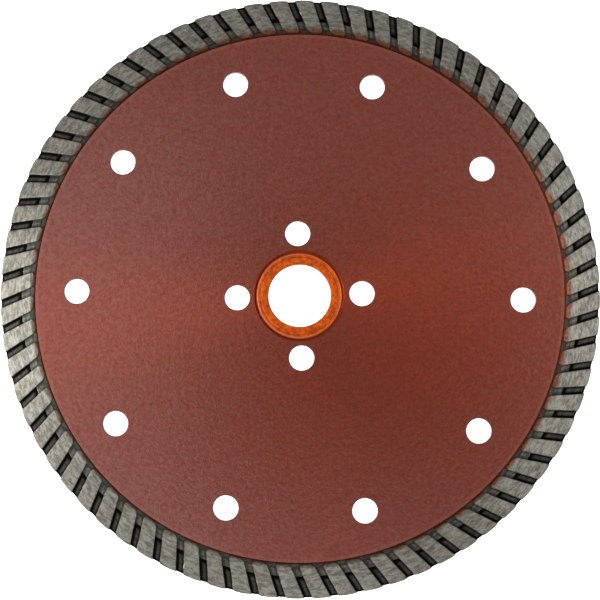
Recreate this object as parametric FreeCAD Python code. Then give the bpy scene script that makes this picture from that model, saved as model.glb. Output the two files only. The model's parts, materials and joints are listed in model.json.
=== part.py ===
"""Turbo-rim diamond blade, 6 inch, for cutting stone with an angle grinder or a small saw.

The blade lies flat with its spin axis on +Z. The origin is the centre of the arbor hole, halfway
through the thickness. The four flange screw holes lie on the X and Y axes. All sizes are in mm.

Pieces
  steel_core       the flat steel blank, with its arbor hole, flange screw holes and cooling holes.
                   Its edge has dovetail notches, which the rim is sintered into.
  transition_ring  the foot of the rim, a layer with no diamond in it. It grips both faces of the
                   blank's edge and fills the dovetail notches.
  diamond_rim      the cutting layer: a thin web with slanting ribs on both sides.
  arbor_bushing    the reducing bushing, pushed into the blank's arbor hole. It pushes out again
                   along the axis when the blade goes on a larger arbor.
"""

import FreeCAD
import Part

import math
import os

Vector = FreeCAD.Vector

INCH = 25.4
AXIS = Vector(0, 0, 1)
CENTRE = Vector(0, 0, 0)

# The blade as a whole
BLADE_RADIUS = 6.0 * INCH / 2
CORE_THICKNESS = 1.6
RIM_THICKNESS = 2.4

# Blank
ARBOR_HOLE_RADIUS = 22.23 / 2
ARBOR_HOLE_EDGE_BREAK = 0.4
HOLE_RADIUS = 0.25 * INCH / 2
FLANGE_HOLE_CIRCLE_RADIUS = 1.25 * INCH / 2
FLANGE_HOLE_COUNT = 4
COOLING_HOLE_CIRCLE_RADIUS = 56.8
COOLING_HOLE_COUNT = 10
COOLING_HOLE_TURN = -3.0
HOLE_EDGE_BREAK = 0.15

# Bare edge of the blank, ground back a little, which the foot of the rim covers
EDGE_THICKNESS = 1.5

# Rim
RIM_HEIGHT = 8.8
RIM_INNER_RADIUS = BLADE_RADIUS - RIM_HEIGHT
FOOT_HEIGHT = 3.25
FOOT_RADIUS = RIM_INNER_RADIUS + FOOT_HEIGHT
FOOT_THICKNESS = CORE_THICKNESS + 0.3
WEB_THICKNESS = 0.9
WEB_SETBACK = 0.2

# Ribs, the same on both sides, with parallel-sided gaps between them
RIB_COUNT = 72
RIB_PITCH = 360.0 / RIB_COUNT
RIB_SLANT = 22.6
RIB_MIDDLE_RADIUS = 72.2
GAP_WIDTH = 1.9
FIRST_GAP_ANGLE = -1.4
RIB_INNER_RADIUS = RIM_INNER_RADIUS + 0.3
RIB_CORNER_RADIUS = 1.0
RIB_END_BEVEL = 0.9
RIB_OUTER_BREAK = 0.15

# Dovetail notches in the blank's edge, hidden inside the foot
NOTCH_COUNT = 36
CORE_EDGE_RADIUS = RIM_INNER_RADIUS + 1.6
NOTCH_ROOT_RADIUS = RIM_INNER_RADIUS + 0.4
NOTCH_MOUTH_RADIUS = CORE_EDGE_RADIUS + 0.2
NOTCH_MOUTH_WIDTH = 2.0
NOTCH_ROOT_WIDTH = 3.0

# Bushing
BUSHING_CLEARANCE = 0.05
BUSHING_OUTER_RADIUS = ARBOR_HOLE_RADIUS - BUSHING_CLEARANCE
BUSHING_BORE_RADIUS = 0.625 * INCH / 2
BUSHING_THICKNESS = 1.5
BUSHING_OUTER_BREAK = 0.5
BUSHING_BORE_BREAK = 0.1
STAKE_GROOVE_RADIUS = 9.93
STAKE_GROOVE_WIDTH = 0.45
STAKE_GROOVE_DEPTH = 0.2

# How far cutting tools run past the surface that they cut
OVERSHOOT = 2.0


def on_circle(radius, angle):
    """The point at a radius and an angle in degrees, on the middle plane."""
    turn = math.radians(angle)
    return Vector(radius * math.cos(turn), radius * math.sin(turn), 0)


def disc(radius, thickness, centre=CENTRE):
    """A round plate about the middle plane."""
    return Part.makeCylinder(radius, thickness, centre - AXIS * (thickness / 2), AXIS)


def ring(inner_radius, outer_radius, thickness):
    """A flat ring about the middle plane."""
    return disc(outer_radius, thickness).cut(disc(inner_radius, thickness + OVERSHOOT))


def turned(outline):
    """The solid that an outline of (radius, height) points sweeps about the axis."""
    points = [Vector(radius, 0, height) for radius, height in outline]
    face = Part.Face(Part.makePolygon(points + points[:1]))
    return face.revolve(CENTRE, AXIS, 360)


def mirrored_outline(upper):
    """A closed outline from its upper half, which runs outwards above the middle plane."""
    return upper + [(radius, -height) for radius, height in reversed(upper)]


def around(shape, count):
    """Copies of a shape, evenly spaced about the axis."""
    copies = []
    for index in range(count):
        copy = shape.copy()
        copy.rotate(CENTRE, AXIS, index * 360.0 / count)
        copies.append(copy)
    return copies


def prism(points, thickness):
    """A polygon on the middle plane, thickened to both sides."""
    face = Part.Face(Part.makePolygon(points + points[:1]))
    face.translate(AXIS * (-thickness / 2))
    return face.extrude(AXIS * thickness)


def hole_tool(radius, edge_break, centre):
    """A drill with a 45 degree countersink at each face, for a hole through the blank."""
    half = CORE_THICKNESS / 2
    tool = turned(mirrored_outline([
        (0, half + OVERSHOOT),
        (radius + edge_break + OVERSHOOT, half + OVERSHOOT),
        (radius, half - edge_break),
    ]))
    tool.translate(centre)
    return tool


def hole_circle(count, circle_radius, first_angle):
    """The tools for a circle of small holes."""
    angles = [first_angle + index * 360.0 / count for index in range(count)]
    return [hole_tool(HOLE_RADIUS, HOLE_EDGE_BREAK, on_circle(circle_radius, angle))
            for angle in angles]


def make_notch():
    """The gap of one dovetail notch, on the +X side, widest at its root."""
    root = NOTCH_ROOT_WIDTH / 2
    mouth = NOTCH_MOUTH_WIDTH / 2
    return prism([
        Vector(NOTCH_ROOT_RADIUS, -root, 0),
        Vector(NOTCH_MOUTH_RADIUS, -mouth, 0),
        Vector(NOTCH_MOUTH_RADIUS, mouth, 0),
        Vector(NOTCH_ROOT_RADIUS, root, 0),
    ], CORE_THICKNESS + OVERSHOOT)


def make_core():
    blank = disc(RIM_INNER_RADIUS, CORE_THICKNESS).fuse(disc(CORE_EDGE_RADIUS, EDGE_THICKNESS))
    tools = [hole_tool(ARBOR_HOLE_RADIUS, ARBOR_HOLE_EDGE_BREAK, CENTRE)]
    tools += hole_circle(FLANGE_HOLE_COUNT, FLANGE_HOLE_CIRCLE_RADIUS, 0.0)
    tools += hole_circle(COOLING_HOLE_COUNT, COOLING_HOLE_CIRCLE_RADIUS, COOLING_HOLE_TURN)
    tools += around(make_notch(), NOTCH_COUNT)
    return blank.cut(tools)


def crossing(point, direction, radius):
    """Where the line through a point, followed outwards, crosses a circle about the axis."""
    along = point.dot(direction)
    return point + direction * (math.sqrt(along ** 2 - point.dot(point) + radius ** 2) - along)


def rib_outline():
    """The four corners of a rib between the first gap and the second, with straight sides."""
    inner_corners = []
    outer_corners = []
    for gap_angle, side in ((FIRST_GAP_ANGLE, 1), (FIRST_GAP_ANGLE + RIB_PITCH, -1)):
        along = on_circle(1.0, gap_angle + RIB_SLANT)
        across = on_circle(1.0, gap_angle + RIB_SLANT + 90)
        gap_middle = on_circle(RIB_MIDDLE_RADIUS, gap_angle)
        gap_wall = gap_middle + across * (side * GAP_WIDTH / 2)
        inner_corners.append(crossing(gap_wall, along, RIB_INNER_RADIUS))
        outer_corners.append(crossing(gap_wall, along, BLADE_RADIUS + OVERSHOOT))
    return inner_corners + outer_corners[::-1]


def rib_envelope():
    """The turned shape that trims the ribs to height.

    Their inner ends slope down to the foot, and their outer ends have a small broken edge.
    """
    half = RIM_THICKNESS / 2
    rise = half - FOOT_THICKNESS / 2
    return turned(mirrored_outline([
        (RIB_INNER_RADIUS - RIB_END_BEVEL, FOOT_THICKNESS / 2 - rise),
        (RIB_INNER_RADIUS + RIB_END_BEVEL, half),
        (BLADE_RADIUS - RIB_OUTER_BREAK, half),
        (BLADE_RADIUS, half - RIB_OUTER_BREAK),
    ]))


def make_rib():
    """One rib through the whole thickness, with its two inner corners rounded."""
    rib = prism(rib_outline(), RIM_THICKNESS)
    upright_edges = [edge for edge in rib.Edges if edge.BoundBox.ZLength > RIM_THICKNESS / 2]
    inner_edges = [edge for edge in upright_edges if edge.CenterOfMass.Length < FOOT_RADIUS]
    rib = rib.makeFillet(RIB_CORNER_RADIUS, inner_edges)
    return rib.common(rib_envelope())


def make_transition_ring(rib, core):
    foot = ring(RIM_INNER_RADIUS, FOOT_RADIUS, FOOT_THICKNESS)
    rib_end = rib.common(disc(FOOT_RADIUS, RIM_THICKNESS + OVERSHOOT))
    return foot.fuse(around(rib_end, RIB_COUNT)).cut(core)


def make_diamond_rim(rib):
    web = ring(FOOT_RADIUS, BLADE_RADIUS - WEB_SETBACK, WEB_THICKNESS)
    rib_face = rib.cut(disc(FOOT_RADIUS, RIM_THICKNESS + OVERSHOOT))
    return web.fuse(around(rib_face, RIB_COUNT))


def make_bushing():
    half = BUSHING_THICKNESS / 2
    inner_groove = STAKE_GROOVE_RADIUS - STAKE_GROOVE_WIDTH / 2
    outer_groove = STAKE_GROOVE_RADIUS + STAKE_GROOVE_WIDTH / 2
    return turned(mirrored_outline([
        (BUSHING_BORE_RADIUS, half - BUSHING_BORE_BREAK),
        (BUSHING_BORE_RADIUS + BUSHING_BORE_BREAK, half),
        (inner_groove, half),
        (STAKE_GROOVE_RADIUS, half - STAKE_GROOVE_DEPTH),
        (outer_groove, half),
        (BUSHING_OUTER_RADIUS - BUSHING_OUTER_BREAK, half),
        (BUSHING_OUTER_RADIUS, half - BUSHING_OUTER_BREAK),
    ]))


def main():
    os.makedirs("parts", exist_ok=True)
    core = make_core()
    rib = make_rib()
    nodes = {
        "steel_core": core,
        "transition_ring": make_transition_ring(rib, core),
        "diamond_rim": make_diamond_rim(rib),
        "arbor_bushing": make_bushing(),
    }
    for name, shape in nodes.items():
        solids = len(shape.Solids)
        print(f"{name}: {solids} solid, {len(shape.Faces)} faces, {shape.Volume:.1f} mm3,"
              f" valid {shape.isValid()}")
        shape.exportStep(f"parts/{name}.step")


main()
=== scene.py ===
"""Looks of a 6 inch turbo-rim diamond blade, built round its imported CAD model.

The blade lies flat on a white table, with its spin axis on +Z. Each CAD node is replaced by a
finished piece of the same size: the lacquered blank, the sintered foot of the rim, the ribbed
cutting layer and the reducing bushing. Lengths in the settings are in millimetres.
"""

import json
import math

import bmesh
import bpy
import numpy as np
from mathutils import Euler, Matrix, Vector, noise


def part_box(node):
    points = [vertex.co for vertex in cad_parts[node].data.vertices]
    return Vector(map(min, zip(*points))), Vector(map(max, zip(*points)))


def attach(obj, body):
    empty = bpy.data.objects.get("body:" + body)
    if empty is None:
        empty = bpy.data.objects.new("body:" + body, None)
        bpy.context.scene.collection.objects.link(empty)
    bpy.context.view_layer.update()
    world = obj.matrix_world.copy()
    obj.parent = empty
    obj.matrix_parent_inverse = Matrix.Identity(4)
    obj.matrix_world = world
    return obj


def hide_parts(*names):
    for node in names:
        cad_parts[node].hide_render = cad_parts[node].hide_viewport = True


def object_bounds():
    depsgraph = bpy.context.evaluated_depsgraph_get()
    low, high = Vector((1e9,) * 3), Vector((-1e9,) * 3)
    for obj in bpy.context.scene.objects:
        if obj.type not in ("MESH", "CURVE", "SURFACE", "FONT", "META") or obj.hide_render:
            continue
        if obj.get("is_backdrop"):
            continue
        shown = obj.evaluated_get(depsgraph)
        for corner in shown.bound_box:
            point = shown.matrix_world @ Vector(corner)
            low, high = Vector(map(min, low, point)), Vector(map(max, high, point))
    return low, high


MM = 0.001

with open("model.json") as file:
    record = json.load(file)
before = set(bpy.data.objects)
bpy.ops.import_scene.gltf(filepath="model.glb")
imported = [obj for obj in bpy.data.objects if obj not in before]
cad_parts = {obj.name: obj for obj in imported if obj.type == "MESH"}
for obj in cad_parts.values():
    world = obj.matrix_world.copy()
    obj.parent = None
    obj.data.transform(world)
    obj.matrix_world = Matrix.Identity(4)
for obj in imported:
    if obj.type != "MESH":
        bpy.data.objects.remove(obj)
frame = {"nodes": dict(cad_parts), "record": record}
cad_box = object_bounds()


# --------------------------------------------------------------------------- sizes from the frame

def node_radii(node):
    """The smallest and largest distance of a CAD node's corners from the axis, in mm."""
    radii = [math.hypot(v.co.x, v.co.y) / MM for v in frame["nodes"][node].data.vertices]
    return min(radii), max(radii)


def node_half_thickness(node):
    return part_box(node)[1].z / MM


def mount_dims(name):
    return next(mount["dims"] for mount in frame["record"]["mounts"] if mount["name"] == name)


ARBOR_HOLE_RADIUS, CORE_EDGE_RADIUS = node_radii("steel_core")
BORE_RADIUS = node_radii("arbor_bushing")[0]
RIM_INNER_RADIUS = node_radii("transition_ring")[0]
FOOT_RADIUS, BLADE_RADIUS = node_radii("diamond_rim")
CORE_HALF = node_half_thickness("steel_core")
RIM_HALF = node_half_thickness("diamond_rim")
BUSHING_HALF = node_half_thickness("arbor_bushing")
FLANGE_HOLES = mount_dims("flush_mount_holes")

# --------------------------------------------------------------------------- settings

# Blank. The flat margin is the width of the ring of faces beside each rounded edge.
HOLE_RADIUS = FLANGE_HOLES["hole_r_mm"]
EDGE_ROUND = 0.15
ARBOR_HOLE_EDGE_ROUND = 0.4
COOLING_HOLE_COUNT = 10
COOLING_HOLE_CIRCLE_RADIUS = 56.8
COOLING_HOLE_TURN = -3.0
FLAT_MARGIN = 0.1
HOLE_SEGMENTS = 96
ARBOR_HOLE_SEGMENTS = 288
OUTSIDE_SEGMENTS = 720

# Rim: the foot, the thin web at the bottom of the gaps, and the broken edges
FOOT_HALF = CORE_HALF + 0.15
WEB_HALF = 0.45
WEB_RADIUS = BLADE_RADIUS - 0.22
RIM_EDGE_BREAK = 0.14
FLOOR_EDGE_BREAK = 0.05

# Ribs, with parallel-sided gaps between them. Beside each gap a rib's outer end falls back by
# the dip, over the width of its corner.
RIB_COUNT = 72
RIB_PITCH = math.radians(360.0 / RIB_COUNT)
RIB_SLANT = math.radians(22.6)
RIB_MIDDLE_RADIUS = 72.2
FIRST_GAP_ANGLE = math.radians(-1.4)
GAP_WIDTH = 1.9
GAP_FLOOR_WIDTH = 1.6
RIB_WIDTH = RIB_MIDDLE_RADIUS * RIB_PITCH * math.cos(RIB_SLANT) - GAP_WIDTH
RIB_INNER_RADIUS = RIM_INNER_RADIUS + 0.3
RIB_CORNER_RADIUS = 1.0
RIB_END_STEP = 0.1
RIB_END_BEVEL = 0.9
RIB_END_ROUND = 0.06
RIB_FACE_RADIUS = RIB_INNER_RADIUS + RIB_END_BEVEL
RIB_OUTER_CORNER = 1.6
RIB_OUTER_DIP = 0.2

# Roughness of the pressed powder: the sizes of its coarse and fine lumps, and how far they move
# the faces and the walls of the gaps
LUMP_SIZES = (1.6, 0.55)
FACE_STRAY = (0.02, 0.018)
WALL_STRAY = (0.06, 0.045)

# Painted shade, from 0 on an open face to 1 in the darkest corner. On the rounded sides of a
# rib's face it grows steeply with the drop. A deep gap is darkest beside its two ends, and each
# pair says how far from the end the dark starts and stops fading.
FLOOR_PAINTED_SHADE = 0.52
FLOOR_CORNER_PAINTED_SHADE = 0.3
FLOOR_EDGE_PAINTED_SHADE = 0.75
RIB_END_PAINTED_SHADE = 0.9
SLOPE_FOOT_PAINTED_SHADE = 0.5
FACE_SIDE_PAINTED_SHADE = 15.0
WALL_PAINTED_SHADE = 0.85
PIT_PAINTED_SHADE = 0.74
PIT_INNER_FADE = (0.8, 1.5)
PIT_OUTER_FADE = (0.3, 0.9)

# Overspray of lacquer onto the rim: where it ends on the ribs and on the floor, the sizes of the
# lumps that its edge wanders in and how far it wanders, how much further it reaches towards the
# right and the top, and half the width that it fades over
RIB_OVERSPRAY_RADIUS = RIB_FACE_RADIUS - 0.05
FLOOR_OVERSPRAY_RADIUS = RIM_INNER_RADIUS + 0.15
OVERSPRAY_LUMP_SIZES = (1.1, 5.0)
OVERSPRAY_WANDER = (0.45, 0.3)
OVERSPRAY_DRIFT = 0.5
OVERSPRAY_FADE = 0.5

# Bushing
BUSHING_SEGMENTS = 288
BUSHING_BORE_ROUND = 0.12
BUSHING_GROOVE_RADIUS = 9.93
BUSHING_GROOVE_WIDTH = 0.34
BUSHING_GROOVE_DEPTH = 0.08
BUSHING_GROOVE_ROUND = 0.01
BUSHING_LIP_RADIUS = 10.6
BUSHING_LIP_ROUND = 0.12
BUSHING_LIP_HEIGHT = 0.03
BUSHING_LIP_SLOPE = 0.08
BUSHING_EDGE_DROP = 0.35
BUSHING_EDGE_ROUND = (0.15, 0.12)
BUSHING_EDGE_RADIUS = ARBOR_HOLE_RADIUS - 0.01
BUSHING_RIPPLE = 0.008
BUSHING_RIPPLE_SIZE = 1.2


# --------------------------------------------------------------------------- mesh helpers

def add_object(name, data):
    piece = bpy.data.objects.new(name, data)
    bpy.context.scene.collection.objects.link(piece)
    return piece


def smooth_by_angle(mesh, degrees):
    """Smooth shading, with hard edges where two faces meet at more than an angle."""
    mesh.shade_smooth()
    mesh.set_sharp_from_angle(angle=math.radians(degrees))


def on_circle(radius, angle):
    return radius * math.cos(angle), radius * math.sin(angle)


def arc(centre, radius, start, end, steps):
    """Points of (radius, height) along an arc of a section, with angles in degrees."""
    turns = np.radians(np.linspace(start, end, steps))
    return [(centre[0] + radius * math.cos(t), centre[1] + radius * math.sin(t)) for t in turns]


def mirrored(section):
    """A section's upper half, followed by its mirror image below the middle plane."""
    return section + [(radius, -height) for radius, height in reversed(section)]


def ring_mesh(name, points):
    """A closed ring from a grid of points in mm: the rows run round its section and close, and
    the columns run round the axis and close."""
    rows, columns = points.shape[:2]
    index = np.arange(rows * columns).reshape(rows, columns)
    right = np.roll(index, -1, axis=1)
    faces = np.stack([index, right, np.roll(right, -1, axis=0), np.roll(index, -1, axis=0)], axis=-1)
    mesh = bpy.data.meshes.new(name)
    mesh.from_pydata((points.reshape(-1, 3) * MM).tolist(), [], faces.reshape(-1, 4).tolist())
    mesh.update()
    return mesh


def add_attribute(mesh, name, values):
    """A number for each corner point of a mesh, which its material reads."""
    layer = mesh.attributes.new(name, "FLOAT", "POINT")
    layer.data.foreach_set("value", np.ascontiguousarray(values, dtype=np.float32).ravel())


def lumps(points, size, seed):
    """Smooth random values from -1 to 1 at points in mm, with lumps about a given size apart."""
    shift = Vector((seed * 17.3, seed * 5.7, seed * 11.9))
    flat = [noise.noise(Vector(point) / size + shift) for point in points.reshape(-1, 3).tolist()]
    return np.array(flat).reshape(points.shape[:-1])


def ramp(values, start, end):
    """0 where values are before start, 1 where they are past end, and a ramp between."""
    return np.clip((values - start) / (end - start), 0.0, 1.0)


# --------------------------------------------------------------------------- lacquered blank

def rounded_edge(radius, edge_round, side):
    """The section of a circle's edge, from the flat upper face over to the lower one.

    The side is 1 for the plate's outside and -1 for a hole."""
    turn_centre = (radius - side * edge_round, CORE_HALF - edge_round)
    flat = [(turn_centre[0] - side * FLAT_MARGIN, CORE_HALF)]
    return mirrored(flat + arc(turn_centre, edge_round, 90, 90 - side * 90, steps=5))


def add_edge(shape, centre, section, segments):
    """The rings of faces along a circle's edge. Returns the edges of its first and last ring."""
    rings = []
    for radius, height in section:
        turns = [index * math.tau / segments for index in range(segments)]
        places = [Vector((*on_circle(radius, turn), height)) + Vector((*centre, 0)) for turn in turns]
        rings.append([shape.verts.new(place * MM) for place in places])
    for upper, lower in zip(rings, rings[1:]):
        for index in range(segments):
            after = (index + 1) % segments
            shape.faces.new((upper[index], upper[after], lower[after], lower[index]))
    return [[shape.edges.get((ring[index - 1], ring[index])) for index in range(segments)]
            for ring in (rings[0], rings[-1])]


def make_blank():
    """The blank: a flat disc with the arbor hole, flange screw holes and cooling holes."""
    shape = bmesh.new()
    circles = [
        ((0, 0), rounded_edge(CORE_EDGE_RADIUS, EDGE_ROUND, 1), OUTSIDE_SEGMENTS),
        ((0, 0), rounded_edge(ARBOR_HOLE_RADIUS, ARBOR_HOLE_EDGE_ROUND, -1), ARBOR_HOLE_SEGMENTS),
    ]
    small_hole = rounded_edge(HOLE_RADIUS, EDGE_ROUND, -1)
    for index in range(FLANGE_HOLES["count"]):
        angle = index * math.tau / FLANGE_HOLES["count"]
        circles.append((on_circle(FLANGE_HOLES["pcd_mm"] / 2, angle), small_hole, HOLE_SEGMENTS))
    for index in range(COOLING_HOLE_COUNT):
        angle = math.radians(COOLING_HOLE_TURN) + index * math.tau / COOLING_HOLE_COUNT
        circles.append((on_circle(COOLING_HOLE_CIRCLE_RADIUS, angle), small_hole, HOLE_SEGMENTS))
    ends = [add_edge(shape, *circle) for circle in circles]
    for face in (0, 1):
        edges = [edge for end in ends for edge in end[face]]
        bmesh.ops.triangle_fill(shape, edges=edges, use_beauty=True)
    bmesh.ops.recalc_face_normals(shape, faces=shape.faces)
    mesh = bpy.data.meshes.new("lacquered_blank")
    shape.to_mesh(mesh)
    shape.free()
    smooth_by_angle(mesh, degrees=30)
    return add_object("lacquered_blank", mesh)


# --------------------------------------------------------------------------- the ribbed rim

# Each column of the rim's grid follows a straight line along a gap or a rib. Beside a gap the
# lines are given by their distance from the gap's middle, with how far down the wall they lie,
# from 0 on the rib's face to 1 on the gap's floor.
WALL_LINES = [(0.87, 0.95), (0.91, 0.55), (0.94, 0.14), (0.99, 0.03), (1.12, 0.0)]
FACE_DROP = 0.1
FLOOR_DROP = 0.99
FLOOR_LINE_COUNT = 6
RIB_LINE_COUNT = 10

# A gap's painted shade is lightest along a strip of its floor, a little to one side of its middle
LEAST_SHADED_OFFSET = 0.15
UNSHADED_HALF_WIDTH = 0.15
SHADED_FROM = 0.5


class RimColumns:
    """The columns across one pitch of the rim: over the first gap's floor, up its wall, over the
    rib and down the next gap's wall. A column's share says how much it follows the next gap, and
    its painted shade goes from 0 in the least shaded strip of a gap to 1 in the gap's corners."""

    def __init__(self):
        edge = WALL_LINES[-1][0]
        floor = np.linspace(-GAP_FLOOR_WIDTH / 2, GAP_FLOOR_WIDTH / 2, FLOOR_LINE_COUNT)
        shares = np.linspace(0.0, 1.0, RIB_LINE_COUNT + 2)[1:-1]
        lines = [(offset, 0.0, 0.0, 1.0) for offset in floor]
        lines += [(offset, 0.0, 0.0, drop) for offset, drop in WALL_LINES]
        lines += [(edge, -edge, share, 0.0) for share in shares]
        lines += [(0.0, -offset, 1.0, drop) for offset, drop in reversed(WALL_LINES)]
        self.first_offset, self.next_offset, self.share, self.drop = np.array(lines).T
        self.count = len(lines)
        self.on_face = self.drop < FACE_DROP
        across = self.first_offset * (1 - self.share)
        across += (RIB_WIDTH + GAP_WIDTH + self.next_offset) * self.share
        from_gap = np.minimum(np.abs(across), RIB_WIDTH + GAP_WIDTH - across)
        self.inside = np.clip(from_gap - GAP_WIDTH / 2, 0.0, None)
        from_middle = np.where(self.share < 1, self.first_offset, self.next_offset)
        from_least_shaded = np.abs(from_middle - LEAST_SHADED_OFFSET)
        self.shade = ramp(from_least_shaded, UNSHADED_HALF_WIDTH, SHADED_FROM)

    def angles(self, radii):
        """The angle of each grid point of one pitch, for its radius and column."""
        first = line_angle(radii, self.first_offset)
        following = line_angle(radii, self.next_offset) + RIB_PITCH
        return first * (1 - self.share) + following * self.share


def line_angle(radii, offset):
    """The angle at which a line beside a gap's middle, and parallel to it, crosses each radius."""
    along = np.array(on_circle(1.0, RIB_SLANT))
    start_x = RIB_MIDDLE_RADIUS - along[1] * offset
    start_y = along[0] * offset
    reach = start_x * along[0] + start_y * along[1]
    travel = np.sqrt(reach ** 2 - start_x ** 2 - start_y ** 2 + radii ** 2) - reach
    return np.arctan2(start_y + travel * along[1], start_x + travel * along[0])


def corner_setback(inside, radius):
    """How far a rounded corner pulls a rib's end back, at a distance inside the rib's side."""
    short = np.clip(radius - inside, 0.0, radius)
    return radius - np.sqrt(radius ** 2 - short ** 2)


def smooth_min(a, b, blend):
    """The lower of two heights, with the corner between them rounded."""
    mix = np.clip(0.5 + (b - a) / (2 * blend), 0.0, 1.0)
    return b * (1 - mix) + a * mix - blend * mix * (1 - mix)


def rib_height(radii):
    """The height of a rib's face above the middle plane: it slopes up from its inner end."""
    slope = (RIM_HALF - FOOT_HALF) / RIB_END_BEVEL
    sloping = FOOT_HALF + (radii - RIB_INNER_RADIUS) * slope
    return smooth_min(sloping, RIM_HALF, RIB_END_ROUND)


class Surface:
    """Grid rows of radius, height and painted shade for one pitch, gathered from the inner edge of
    the upper face outwards."""

    def __init__(self, columns):
        self.columns = columns
        self.radii = []
        self.heights = []
        self.painted_shade = []

    def add(self, radii, heights, painted_shade):
        ones = np.ones(self.columns.count)
        self.radii.append(radii * ones)
        self.heights.append(heights * ones)
        self.painted_shade.append(painted_shade * ones)


# The foot's inner edge, over the blank's face: distance outwards, height and painted shade
FOOT_EDGE = [
    (0.0, CORE_HALF + 0.02, 1.0),
    (0.04, FOOT_HALF - 0.03, 0.95),
    (0.12, FOOT_HALF, 0.8),
]
# The rim's broken outer edge: distance inwards, distance from the face, and the painted shade
# of a rib and of the web between the ribs
OUTER_EDGE = [
    (0.04, 0.04, 0.15, 1.0),
    (0.0, RIM_EDGE_BREAK, 0.3, 0.9),
]

# The rows of the foot crowd together at the foot of the ribs' slopes, and the first share of
# them has painted shade
FOOT_ROW_COUNT = 17
FOOT_ROW_CROWDING = 1.3
SLOPE_FOOT_SHARE = 0.08
CUTTING_ROW_COUNT = 23


def foot_surface(columns):
    """The foot: a flat floor between the inner ends of the ribs, which slope up out of it."""
    surface = Surface(columns)
    end = RIB_INNER_RADIUS + corner_setback(columns.inside, RIB_CORNER_RADIUS)
    slope_start = end + RIB_END_STEP
    # Painted shade on the floor between the ribs, deeper in its corners, on the walls and over the
    # rounded sides of the ribs' faces
    floor_painted_shade = FLOOR_PAINTED_SHADE + FLOOR_CORNER_PAINTED_SHADE * columns.shade
    side_painted_shade = np.where(columns.on_face, FACE_SIDE_PAINTED_SHADE * columns.drop, WALL_PAINTED_SHADE)
    painted_shade = np.where(columns.drop < 1, side_painted_shade, floor_painted_shade)
    for outwards, height, edge_painted_shade in FOOT_EDGE:
        surface.add(RIM_INNER_RADIUS + outwards, height, edge_painted_shade)
    floor_start = RIM_INNER_RADIUS + FOOT_EDGE[-1][0]
    # Painted shade along the floor's inner edge and at the ribs' inner ends
    surface.add((floor_start + end) / 2, FOOT_HALF, FLOOR_EDGE_PAINTED_SHADE)
    surface.add(end, FOOT_HALF, RIB_END_PAINTED_SHADE)
    for step in np.linspace(0.0, 1.0, FOOT_ROW_COUNT) ** FOOT_ROW_CROWDING:
        radii = slope_start + (FOOT_RADIUS - slope_start) * step
        rib = rib_height(radii)
        heights = rib + (FOOT_HALF - rib) * columns.drop
        broken_edge = FLOOR_EDGE_BREAK * (step == 1.0) * columns.drop
        # Painted shade at the foot of each rib's slope
        slope_foot = SLOPE_FOOT_PAINTED_SHADE * (1 - ramp(step, 0.0, SLOPE_FOOT_SHARE)) * columns.on_face
        surface.add(radii, heights - broken_edge, np.maximum(painted_shade, slope_foot))
    return surface


def cutting_surface(columns):
    """The cutting layer: ribs with deep gaps between them, down to a thin web. The gaps have
    painted shade, darkest at their two ends and in their corners."""
    surface = Surface(columns)
    corner = corner_setback(columns.inside, RIB_OUTER_CORNER) * RIB_OUTER_DIP / RIB_OUTER_CORNER
    rib_edge = BLADE_RADIUS - corner * (1 - columns.drop)
    edge = rib_edge + (WEB_RADIUS - rib_edge) * columns.drop
    heights = RIM_HALF + (WEB_HALF - RIM_HALF) * columns.drop
    # Painted shade over the rounded sides of the ribs' faces
    face_painted_shade = FACE_SIDE_PAINTED_SHADE * columns.drop
    for step in np.linspace(0.0, 1.0, CUTTING_ROW_COUNT):
        radii = FOOT_RADIUS + (edge - RIM_EDGE_BREAK - FOOT_RADIUS) * step
        # Painted shade in the deep gaps, darkest beside their two ends and in their corners
        near_foot = 1 - ramp(radii - FOOT_RADIUS, *PIT_INNER_FADE)
        near_edge = 1 - ramp(edge - radii, *PIT_OUTER_FADE)
        corners = np.maximum(np.maximum(near_foot, near_edge), columns.shade)
        gap_painted_shade = PIT_PAINTED_SHADE + (1 - PIT_PAINTED_SHADE) * corners
        surface.add(radii, heights, np.where(columns.on_face, face_painted_shade, gap_painted_shade))
    for inwards, down, rib_painted_shade, web_painted_shade in OUTER_EDGE:
        painted_shade = np.where(columns.on_face, rib_painted_shade, web_painted_shade)
        surface.add(edge - inwards, heights - down, painted_shade)
    # The middle of the outer side, with painted shade on the rib and more on the web
    surface.add(edge, heights * 0.4, np.where(columns.on_face, 0.3, 0.8))
    return surface


def roughened(points, angles, drop, shown, seed):
    """Moves points a little, as pressed and ground powder metal is rough: faces up and down, and
    the walls of the gaps from side to side."""
    coarse = lumps(points, LUMP_SIZES[0], seed)
    fine = lumps(points, LUMP_SIZES[1], seed + 1)
    on_wall = (drop > FACE_DROP) & (drop < FLOOR_DROP)
    level = shown * (FACE_STRAY[0] * coarse + FACE_STRAY[1] * fine) * np.sign(points[..., 2])
    sideways = shown * on_wall * (WALL_STRAY[0] * coarse + WALL_STRAY[1] * fine)
    round_about = np.stack([-np.sin(angles), np.cos(angles), 0 * angles], axis=-1)
    moved = points + round_about * sideways[..., None]
    moved[..., 2] += level
    return moved


def overspray(points, radii, drop):
    """How much lacquer has blown over from the blank: up the ribs' sloping ends, with an uneven
    edge, and a little onto the floor between them. It reaches furthest at the upper right."""
    reach = np.where(drop < 0.5, RIB_OVERSPRAY_RADIUS, FLOOR_OVERSPRAY_RADIUS)
    reach = reach + OVERSPRAY_WANDER[0] * lumps(points, OVERSPRAY_LUMP_SIZES[0], seed=11)
    reach = reach + OVERSPRAY_WANDER[1] * lumps(points, OVERSPRAY_LUMP_SIZES[1], seed=12)
    reach = reach + OVERSPRAY_DRIFT * (points[..., 0] + points[..., 1]) / BLADE_RADIUS
    return 1 - ramp(radii, reach - OVERSPRAY_FADE, reach + OVERSPRAY_FADE)


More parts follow.
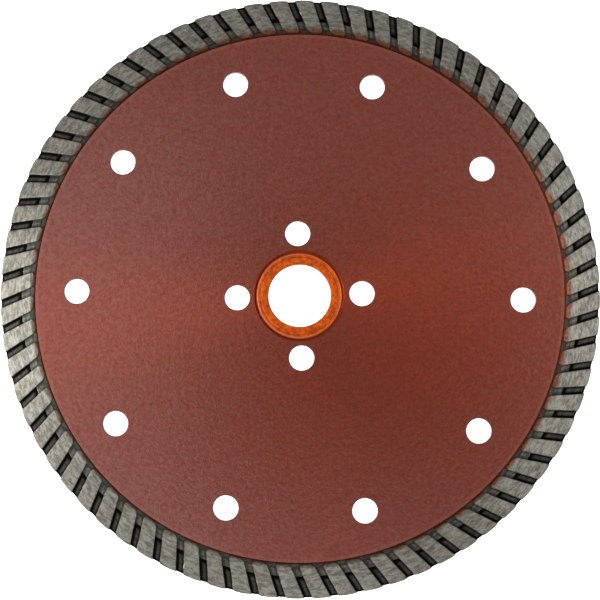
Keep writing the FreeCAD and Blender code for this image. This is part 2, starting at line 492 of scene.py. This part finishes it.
def rim_piece(name, surface, inner_profile):
    """Turns a surface of one pitch into the whole piece, with both faces, and roughens it. The
    inner profile, a list of (radius, height), closes the section inside and stays smooth."""
    columns = surface.columns
    upper_radii = np.array(surface.radii)
    upper_heights = np.array(surface.heights)
    profile = np.array(inner_profile).reshape(-1, 2)
    inner_radii = profile[:, :1] * np.ones(columns.count)
    inner_heights = profile[:, 1:] * np.ones(columns.count)
    radii = np.concatenate([upper_radii, upper_radii[::-1], inner_radii])
    heights = np.concatenate([upper_heights, -upper_heights[::-1], inner_heights])
    # Painted shade for each grid point, darkest on the hidden inner profile
    painted_shade = np.array(surface.painted_shade)
    painted_shade = np.concatenate([painted_shade, painted_shade[::-1], np.ones_like(inner_radii)])
    turns = FIRST_GAP_ANGLE + np.arange(RIB_COUNT) * RIB_PITCH
    angles = columns.angles(radii)[:, None, :] + turns[None, :, None]
    angles = angles.reshape(len(radii), -1)
    radii, heights, painted_shade = (np.tile(values, (1, RIB_COUNT)) for values in (radii, heights, painted_shade))
    drop = np.tile(columns.drop, RIB_COUNT)
    shown = np.ones(radii.shape)
    shown[2 * len(upper_radii):] = 0.0
    points = np.stack([radii * np.cos(angles), radii * np.sin(angles), heights], axis=-1)
    mesh = ring_mesh(name, roughened(points, angles, drop, shown, seed=1))
    # The painted shade goes to the material as a point attribute
    add_attribute(mesh, "painted_shade", painted_shade)
    add_attribute(mesh, "overspray", overspray(points, radii, drop))
    smooth_by_angle(mesh, degrees=38)
    return add_object(name, mesh)


def make_foot():
    """The foot, which grips the blank's edge in a groove."""
    groove = [
        (RIM_INNER_RADIUS, -CORE_HALF), (CORE_EDGE_RADIUS, -CORE_HALF),
        (CORE_EDGE_RADIUS, CORE_HALF), (RIM_INNER_RADIUS, CORE_HALF),
    ]
    return rim_piece("sintered_foot", foot_surface(RimColumns()), groove)


def make_cutting_rim():
    return rim_piece("diamond_cutting_rim", cutting_surface(RimColumns()), [])


# --------------------------------------------------------------------------- diamond grit

GRIT_PER_RIB_FACE = 16
GRIT_RADIUS = 0.15
GRIT_SIZES = (0.7, 1.2)
GRIT_SHOWING = 0.05
GRIT_INNER_RADIUS = FOOT_RADIUS + 0.2
GRIT_OUTER_RADIUS = BLADE_RADIUS - 0.4
GRIT_SIDE_MARGIN = 0.08
GRIT_SEED = 7


def crystal():
    """The corners and triangles of a cuboctahedron of radius 1, the usual shape of a saw diamond."""
    shape = bmesh.new()
    for flat_axis in range(3):
        for a in (-1, 1):
            for b in (-1, 1):
                corner = [a, b]
                corner.insert(flat_axis, 0)
                shape.verts.new(Vector(corner) / math.sqrt(2))
    bmesh.ops.convex_hull(shape, input=shape.verts)
    shape.verts.index_update()
    corners = np.array([corner.co for corner in shape.verts])
    triangles = np.array([[corner.index for corner in face.verts] for face in shape.faces])
    shape.free()
    return corners, triangles


def grit_places(rng):
    """Random places on the ribs' two faces: a point in mm and a crystal's size."""
    edge = WALL_LINES[-1][0]
    for rib in range(RIB_COUNT):
        for side in (1, -1):
            for _ in range(GRIT_PER_RIB_FACE):
                radius = rng.uniform(GRIT_INNER_RADIUS, GRIT_OUTER_RADIUS)
                share = rng.uniform(GRIT_SIDE_MARGIN, 1 - GRIT_SIDE_MARGIN)
                start = line_angle(radius, edge)
                end = line_angle(radius, -edge) + RIB_PITCH
                angle = FIRST_GAP_ANGLE + rib * RIB_PITCH + start * (1 - share) + end * share
                size = GRIT_RADIUS * rng.uniform(*GRIT_SIZES)
                yield (*on_circle(radius, angle), side * (RIM_HALF + GRIT_SHOWING - size)), size


def make_grit():
    """Diamond crystals that stand a little out of the ribs' faces."""
    rng = np.random.default_rng(GRIT_SEED)
    corners, triangles = crystal()
    points = []
    faces = []
    for place, size in list(grit_places(rng)):
        turn = Euler(rng.uniform(0, math.tau, 3)).to_matrix()
        faces.append(triangles + len(points) * len(corners))
        points.append(corners @ np.array(turn).T * size + place)
    mesh = bpy.data.meshes.new("diamond_grit")
    mesh.from_pydata((np.concatenate(points) * MM).tolist(), [], np.concatenate(faces).tolist())
    mesh.update()
    return add_object("diamond_grit", mesh)


# --------------------------------------------------------------------------- bushing

def bushing_section():
    """The bushing's section, from its bore outwards: a flat face with a staked groove, a fine
    raised lip and an edge that falls away to the blank."""
    face = BUSHING_HALF - BUSHING_LIP_HEIGHT
    half_groove = BUSHING_GROOVE_WIDTH / 2
    groove_side = face - BUSHING_GROOVE_ROUND
    bore_turn = (BORE_RADIUS + BUSHING_BORE_ROUND, face - BUSHING_BORE_ROUND)
    lip_turn = (BUSHING_LIP_RADIUS, BUSHING_HALF - BUSHING_LIP_ROUND)
    edge_height = BUSHING_HALF - BUSHING_EDGE_DROP
    edge_across, edge_up = BUSHING_EDGE_ROUND
    points = arc(bore_turn, BUSHING_BORE_ROUND, 180, 90, steps=5)
    points += [
        (BUSHING_GROOVE_RADIUS - 2 * half_groove, face),
        (BUSHING_GROOVE_RADIUS - half_groove, groove_side),
        (BUSHING_GROOVE_RADIUS, face - BUSHING_GROOVE_DEPTH),
        (BUSHING_GROOVE_RADIUS + half_groove, groove_side),
        (BUSHING_LIP_RADIUS - BUSHING_LIP_ROUND - BUSHING_LIP_SLOPE, face),
    ]
    points += arc(lip_turn, BUSHING_LIP_ROUND, 140, 20, steps=7)
    points += [
        (BUSHING_EDGE_RADIUS - edge_across, edge_height + edge_up),
        (BUSHING_EDGE_RADIUS, edge_height),
    ]
    return mirrored(points)


def make_bushing():
    """The reducing bushing, turned from its section, with faint ripples in its lacquer."""
    section = np.array(bushing_section())
    turns = np.linspace(0, math.tau, BUSHING_SEGMENTS, endpoint=False)
    points = np.stack([
        section[:, :1] * np.cos(turns), section[:, :1] * np.sin(turns),
        section[:, 1:] * np.ones(BUSHING_SEGMENTS)], axis=-1)
    ripple = BUSHING_RIPPLE * lumps(points, BUSHING_RIPPLE_SIZE, seed=5)
    points[..., 2] += ripple * np.sign(points[..., 2])
    mesh = ring_mesh("reducing_bushing", points)
    smooth_by_angle(mesh, degrees=40)
    return add_object("reducing_bushing", mesh)


# --------------------------------------------------------------------------- materials

def srgb(red, green, blue):
    """A linear colour from display values of 0 to 255."""
    def linear(value):
        value /= 255.0
        return value / 12.92 if value <= 0.04045 else ((value + 0.055) / 1.055) ** 2.4
    return (linear(red), linear(green), linear(blue), 1.0)


class Graph:
    """A material's node tree, with short calls that add one node each and return its output."""

    def __init__(self, name):
        self.material = bpy.data.materials.new(name)
        self.material.use_nodes = True
        self.tree = self.material.node_tree
        self.shader = self.tree.nodes["Principled BSDF"]
        coordinates = self.tree.nodes.new("ShaderNodeTexCoord")
        self.place = self.scaled(coordinates.outputs["Object"], 1 / MM)

    def connect(self, source, socket):
        if isinstance(source, (int, float, tuple)):
            socket.default_value = source
        else:
            self.tree.links.new(source, socket)

    def set(self, **values):
        """Sets the shader's own sockets, named with _ for a space."""
        for name, value in values.items():
            self.connect(value, self.shader.inputs[name.replace("_", " ")])

    def math(self, operation, a, b=0.0):
        node = self.tree.nodes.new("ShaderNodeMath")
        node.operation = operation
        self.connect(a, node.inputs[0])
        self.connect(b, node.inputs[1])
        return node.outputs[0]

    def scaled(self, vector, factor):
        node = self.tree.nodes.new("ShaderNodeVectorMath")
        node.operation = "SCALE"
        self.connect(vector, node.inputs[0])
        node.inputs["Scale"].default_value = factor
        return node.outputs[0]

    def outward(self):
        """The direction away from the blade's centre, with length 1."""
        node = self.tree.nodes.new("ShaderNodeVectorMath")
        node.operation = "NORMALIZE"
        self.connect(self.place, node.inputs[0])
        return node.outputs[0]

    def noise(self, size, detail, roughness=0.5):
        """Noise from 0 to 1 with features about size mm apart."""
        node = self.tree.nodes.new("ShaderNodeTexNoise")
        self.connect(self.place, node.inputs["Vector"])
        node.inputs["Scale"].default_value = 1 / size
        node.inputs["Detail"].default_value = detail
        node.inputs["Roughness"].default_value = roughness
        return node.outputs["Fac"]

    def streaks(self, length, width, detail, roughness):
        """Noise from 0 to 1 drawn out round the axis, as grinding marks are: the marks are about
        length mm long at the blade's edge, and width mm wide."""
        node = self.tree.nodes.new("ShaderNodeTexNoise")
        node.noise_dimensions = "4D"
        self.connect(self.scaled(self.outward(), BLADE_RADIUS / length), node.inputs["Vector"])
        self.connect(self.math("DIVIDE", self.radius(), width), node.inputs["W"])
        node.inputs["Scale"].default_value = 1.0
        node.inputs["Detail"].default_value = detail
        node.inputs["Roughness"].default_value = roughness
        return node.outputs["Fac"]

    def cells(self, size):
        """A random colour for each of the cells that fill space, about size mm across."""
        node = self.tree.nodes.new("ShaderNodeTexVoronoi")
        self.connect(self.place, node.inputs["Vector"])
        node.inputs["Scale"].default_value = 1 / size
        return node.outputs["Color"]

    def between(self, value, low, high):
        """0 where value is below low, 1 where it is above high, and a smooth ramp between."""
        node = self.tree.nodes.new("ShaderNodeMapRange")
        node.interpolation_type = "SMOOTHSTEP"
        self.connect(value, node.inputs["Value"])
        self.connect(low, node.inputs["From Min"])
        self.connect(high, node.inputs["From Max"])
        return node.outputs["Result"]

    def part(self, factor, share):
        """A factor cut down to a share of itself."""
        return self.math("MULTIPLY", factor, share)

    def mix(self, factor, a, b):
        """One colour mixed into another: a where the factor is 0, and b where it is 1."""
        node = self.tree.nodes.new("ShaderNodeMix")
        node.data_type = "RGBA"
        self.connect(factor, node.inputs[0])
        self.connect(a, node.inputs[6])
        self.connect(b, node.inputs[7])
        return node.outputs[2]

    def tinted(self, colour, tint, factor, share):
        """A colour with up to a share of a tint in it, most where the factor is 1."""
        return self.mix(self.part(factor, share), colour, tint)

    def parts(self, vector):
        """The three numbers of a vector or a colour."""
        node = self.tree.nodes.new("ShaderNodeSeparateXYZ")
        self.connect(vector, node.inputs[0])
        return node.outputs

    def radius(self):
        """The distance from the blade's axis, in mm."""
        x, y, _ = self.parts(self.place)
        return self.math("SQRT", self.math("ADD", self.math("MULTIPLY", x, x),
                                           self.math("MULTIPLY", y, y)))

    def round_tangent(self):
        """The direction of grinding marks that run round the axis."""
        node = self.tree.nodes.new("ShaderNodeTangent")
        node.direction_type = "RADIAL"
        node.axis = "Z"
        return node.outputs[0]

    def attribute(self, name):
        node = self.tree.nodes.new("ShaderNodeAttribute")
        node.attribute_name = name
        return node.outputs["Fac"]

    def bump(self, height, depth, normal=None):
        """A bumped normal, for a height of 0 to 1 that stands for depth mm."""
        node = self.tree.nodes.new("ShaderNodeBump")
        node.inputs["Distance"].default_value = depth * MM
        self.connect(height, node.inputs["Height"])
        if normal is not None:
            self.connect(normal, node.inputs["Normal"])
        return node.outputs[0]


GRINDING_ANISOTROPY = 0.8
ALONG_TANGENT = 0.25

LACQUER_DARK = srgb(88, 25, 4)
LACQUER_LIGHT = srgb(104, 34, 7)
LACQUER_MARKS = srgb(111, 37, 12)
LACQUER_CLOUDS = srgb(94, 30, 8)
LACQUER_PALE_BAND = srgb(126, 70, 50)
# Painted shade for the crevice where the lacquer meets the rim
LACQUER_CREVICE_SHADE = srgb(40, 16, 8)
LACQUER_HOLE_EDGE = srgb(100, 33, 13)


def lacquer_material():
    """Red-brown transparent lacquer over ground steel: mottled and faintly streaked, under a
    glossier coat with specks in it. It is paler in a band beside the rim and has painted shade
    in the crevice there, and the rounded edge of the arbor hole is plain and has no coat."""
    graph = Graph("red_brown_lacquer")
    flake = graph.noise(0.9, 2.0, 0.7)
    marks = graph.streaks(6.0, 0.8, 3.0, 0.65)
    clouds = graph.noise(9.0, 2.0)
    radius = graph.radius()
    # Paler in a band just inside the rim
    pale_band = graph.between(radius, RIM_INNER_RADIUS - 1.0, RIM_INNER_RADIUS - 0.7)
    # Painted shade in the crevice where the lacquer meets the rim, which also loses its coat
    crevice = graph.between(radius, RIM_INNER_RADIUS - 0.2, RIM_INNER_RADIUS)
    coated = graph.between(radius, ARBOR_HOLE_RADIUS + 0.35, ARBOR_HOLE_RADIUS + 0.65)
    colour = graph.mix(graph.between(flake, 0.3, 0.7), LACQUER_DARK, LACQUER_LIGHT)
    colour = graph.tinted(colour, LACQUER_MARKS, graph.between(marks, 0.45, 0.7), 0.4)
    colour = graph.tinted(colour, LACQUER_CLOUDS, graph.between(clouds, 0.4, 0.75), 0.5)
    colour = graph.tinted(colour, LACQUER_PALE_BAND, pale_band, 0.2)
    colour = graph.tinted(colour, LACQUER_CREVICE_SHADE, crevice, 0.9)
    colour = graph.mix(coated, LACQUER_HOLE_EDGE, colour)
    graph.set(Base_Color=colour, Metallic=0.5, Specular_IOR_Level=0.0)
    graph.set(Anisotropic=GRINDING_ANISOTROPY, Anisotropic_Rotation=ALONG_TANGENT)
    graph.set(Tangent=graph.round_tangent())
    graph.set(Roughness=graph.math("ADD", graph.part(flake, 0.15), 0.32))
    graph.set(Normal=graph.bump(marks, 0.01, graph.bump(flake, 0.02)))
    specks = graph.noise(1.0, 3.0, 0.75)
    dull = graph.part(graph.between(specks, 0.3, 0.7), 0.5)
    gloss = graph.math("SUBTRACT", graph.math("SUBTRACT", coated, dull), crevice)
    graph.set(Coat_Weight=gloss, Coat_Roughness=0.2, Coat_IOR=1.6)
    graph.set(Coat_Normal=graph.bump(specks, 0.045))
    return graph.material


BOND_DARK = srgb(96, 95, 88)
BOND_LIGHT = srgb(144, 143, 133)
BOND_GRAINS = srgb(84, 82, 76)
BOND_WARM = srgb(136, 116, 102)
# Painted shade for the rim's gaps, corners and rounded edges
BOND_PAINTED_SHADE = srgb(10, 9, 8)
OVERSPRAY_DARK = srgb(74, 30, 11)
OVERSPRAY_LIGHT = srgb(104, 54, 28)
# Painted shade for the overspray in the same places
OVERSPRAY_PAINTED_SHADE = srgb(28, 12, 8)


def bond_material(name):
    """Sintered metal bond: a grey mass of pressed grains with grinding streaks round the axis,
    with painted shade in the rim's gaps and corners, and with overspray of the blank's lacquer at
    the inner ends."""
    graph = Graph(name)
    streaks = graph.streaks(1.9, 0.6, 3.0, 0.65)
    grains = graph.noise(0.6, 3.0, 0.75)
    warm = graph.noise(1.1, 2.0)
    painted_shade = graph.attribute("painted_shade")
    colour = graph.mix(graph.between(streaks, 0.35, 0.65), BOND_DARK, BOND_LIGHT)
    colour = graph.tinted(colour, BOND_GRAINS, graph.between(grains, 0.5, 0.68), 0.5)
    colour = graph.tinted(colour, BOND_WARM, graph.between(warm, 0.5, 0.7), 0.4)
    # Painted shade, darkest in the gaps and corners
    colour = graph.mix(painted_shade, colour, BOND_PAINTED_SHADE)
    lacquer = graph.mix(graph.between(grains, 0.35, 0.65), OVERSPRAY_DARK, OVERSPRAY_LIGHT)
    # The overspray takes the painted shade too
    lacquer = graph.tinted(lacquer, OVERSPRAY_PAINTED_SHADE, painted_shade, 0.8)
    colour = graph.tinted(colour, lacquer, graph.attribute("overspray"), 0.88)
    graph.set(Base_Color=colour, Metallic=1.0)
    graph.set(Anisotropic=GRINDING_ANISOTROPY, Anisotropic_Rotation=ALONG_TANGENT)
    graph.set(Tangent=graph.round_tangent())
    graph.set(Roughness=graph.math("ADD", graph.part(grains, 0.2), 0.3))
    graph.set(Normal=graph.bump(streaks, 0.04, graph.bump(grains, 0.05)))
    return graph.material


DIAMOND_DARK = srgb(128, 124, 96)
DIAMOND_LIGHT = srgb(170, 167, 146)


def grit_material():
    """Yellow-green synthetic diamond."""
    graph = Graph("saw_diamond")
    tint = graph.parts(graph.cells(0.5))
    graph.set(Base_Color=graph.mix(tint[0], DIAMOND_DARK, DIAMOND_LIGHT), IOR=2.0)
    graph.set(Roughness=graph.math("ADD", graph.part(tint[1], 0.2), 0.15))
    return graph.material


ORANGE_DARK = srgb(144, 52, 14)
ORANGE_LIGHT = srgb(184, 82, 22)
ORANGE_BLOTS = srgb(120, 40, 5)
# Painted shade for the staked groove
ORANGE_GROOVE_SHADE = srgb(104, 36, 4)
# Painted highlight for the lip
ORANGE_LIP_HIGHLIGHT = srgb(176, 104, 70)
# Painted shade for the edge that falls away outside the lip
ORANGE_EDGE_SHADE = srgb(138, 52, 16)


def bushing_material():
    """Orange lacquer on a turned and staked steel ring, with painted shade in its groove and on its
    outer edge, and a painted highlight along its lip.
    """
    graph = Graph("orange_lacquer")
    mottle = graph.noise(0.9, 2.0, 0.7)
    blots = graph.noise(1.6, 2.0)
    radius = graph.radius()
    into_groove = graph.between(radius, BUSHING_GROOVE_RADIUS - 0.2, BUSHING_GROOVE_RADIUS)
    out_of_groove = graph.between(radius, BUSHING_GROOVE_RADIUS, BUSHING_GROOVE_RADIUS + 0.2)
    # Painted shade in the staked groove
    groove = graph.math("SUBTRACT", into_groove, out_of_groove)
    # Painted highlight along the lip
    lip = graph.between(radius, BUSHING_LIP_RADIUS - 0.22, BUSHING_LIP_RADIUS - 0.02)
    # Painted shade on the edge that falls away to the blank
    outside = graph.between(radius, BUSHING_LIP_RADIUS + 0.1, BUSHING_LIP_RADIUS + 0.3)
    colour = graph.mix(graph.between(mottle, 0.3, 0.7), ORANGE_DARK, ORANGE_LIGHT)
    colour = graph.tinted(colour, ORANGE_BLOTS, graph.between(blots, 0.45, 0.65), 0.5)
    colour = graph.tinted(colour, ORANGE_GROOVE_SHADE, groove, 0.4)
    colour = graph.tinted(colour, ORANGE_LIP_HIGHLIGHT, lip, 0.6)
    colour = graph.tinted(colour, ORANGE_EDGE_SHADE, outside, 0.85)
    graph.set(Base_Color=colour, Metallic=0.35, Specular_IOR_Level=0.0)
    graph.set(Roughness=graph.math("ADD", graph.part(mottle, 0.2), 0.3))
    turned = graph.math("SINE", graph.math("MULTIPLY", radius, 40.0))
    graph.set(Normal=graph.bump(mottle, 0.01, graph.bump(turned, 0.001)))
    graph.set(Coat_Weight=0.1, Coat_Roughness=0.25)
    return graph.material


# --------------------------------------------------------------------------- studio

CAMERA_DISTANCE = 400.0
CAMERA_AIM = (0.07, -1.06, 0.0)
CAMERA_TILT = math.radians(4.07)
CAMERA_SWING = math.radians(0.54)
CAMERA_ROLL = math.radians(-1.85)
CAMERA_NEAREST = 10.0
CAMERA_FURTHEST = 100000.0
CAMERA_LENS = 94.25
SENSOR_WIDTH = 36.0
TABLE_HALF_WIDTH = 20000.0
TABLE_GAP = 0.1
TABLE_WHITE = (0.9, 0.9, 0.9, 1.0)
WHITE = (1.0, 1.0, 1.0, 1.0)
WORLD_STRENGTH = 0.02

# Square soft lights round the blade: name, turn round the axis from +X, lean from overhead, and
# power in watts
LIGHT_DISTANCE = 1000.0
LIGHT_SIZE = 500.0
LIGHTS = [
    ("left_side_softbox", 180, 60, 16.4),
    ("bottom_side_softbox", 270, 60, 3.3),
    ("upper_left_side_softbox", 135, 60, 1.6),
    ("lower_left_side_softbox", 210, 60, 1.5),
    ("lower_right_side_softbox", 325, 60, 1.8),
    ("right_softbox", 0, 28, 1.63),
    ("left_softbox", 180, 20, 1.31),
    ("left_fill", 180, 28, 0.3),
    ("bottom_softbox", 270, 20, 0.95),
    ("top_softbox", 90, 20, 0.61),
    ("lower_left_fill", 225, 38, 0.95),
    ("upper_right_fill", 45, 35, 0.16),
]


def make_camera():
    """A camera that looks down on the blade from a little to one side."""
    data = bpy.data.cameras.new("camera")
    data.lens = CAMERA_LENS
    data.sensor_width = SENSOR_WIDTH
    data.clip_start = CAMERA_NEAREST * MM
    data.clip_end = CAMERA_FURTHEST * MM
    camera = add_object("camera", data)
    turn = Euler((CAMERA_TILT, CAMERA_SWING, CAMERA_ROLL)).to_matrix()
    place = Vector(CAMERA_AIM) + turn @ Vector((0, 0, CAMERA_DISTANCE))
    camera.matrix_world = Matrix.Translation(place * MM) @ turn.to_4x4()
    bpy.context.scene.camera = camera


def add_light(name, turn, lean, power):
    """A square soft light that faces the blade."""
    data = bpy.data.lights.new(name, "AREA")
    data.shape = "SQUARE"
    data.size = LIGHT_SIZE * MM
    data.energy = power
    light = add_object(name, data)
    reach = LIGHT_DISTANCE * math.sin(math.radians(lean))
    height = LIGHT_DISTANCE * math.cos(math.radians(lean))
    light.location = Vector((*on_circle(reach, math.radians(turn)), height)) * MM
    light.rotation_euler = (-light.location).to_track_quat("-Z", "Y").to_euler()


def make_table():
    """A white table that shines by itself, so that no shadow shows on it."""
    half = TABLE_HALF_WIDTH * MM
    mesh = bpy.data.meshes.new("table")
    corners = [(-half, -half, 0), (half, -half, 0), (half, half, 0), (-half, half, 0)]
    mesh.from_pydata(corners, [], [(0, 1, 2, 3)])
    table = add_object("table", mesh)
    table.location.z = -(RIM_HALF + TABLE_GAP) * MM
    graph = Graph("table_white")
    graph.set(Base_Color=TABLE_WHITE, Roughness=0.9, Specular_IOR_Level=0.0)
    graph.set(Emission_Color=WHITE, Emission_Strength=1.0)
    mesh.materials.append(graph.material)
    table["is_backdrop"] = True


def make_studio():
    """A white table with soft lights: the main one stands to the left of the blade."""
    make_table()
    for name, turn, lean, power in LIGHTS:
        add_light(name, turn, lean, power)
    world = bpy.data.worlds.new("studio")
    world.use_nodes = True
    background = world.node_tree.nodes["Background"]
    background.inputs["Color"].default_value = WHITE
    background.inputs["Strength"].default_value = WORLD_STRENGTH
    bpy.context.scene.world = world
    bpy.context.scene.view_settings.view_transform = "Standard"


# --------------------------------------------------------------------------- the whole

def place_piece(piece, body, node, material):
    """Gives a finished piece its material, and puts it in the place of a CAD node."""
    piece.data.materials.append(material)
    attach(piece, body)
    if node:
        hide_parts(node)


make_camera()
make_studio()
place_piece(make_blank(), "blade", "steel_core", lacquer_material())
place_piece(make_foot(), "blade", "transition_ring", bond_material("foot_bond"))
place_piece(make_cutting_rim(), "blade", "diamond_rim", bond_material("diamond_bond"))
place_piece(make_grit(), "blade", None, grit_material())
place_piece(make_bushing(), "bushing", "arbor_bushing", bushing_material())

boxes = {"cad_box": cad_box, "visual_box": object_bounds()}
{name: [list(corner) for corner in box] for name, box in boxes.items()}
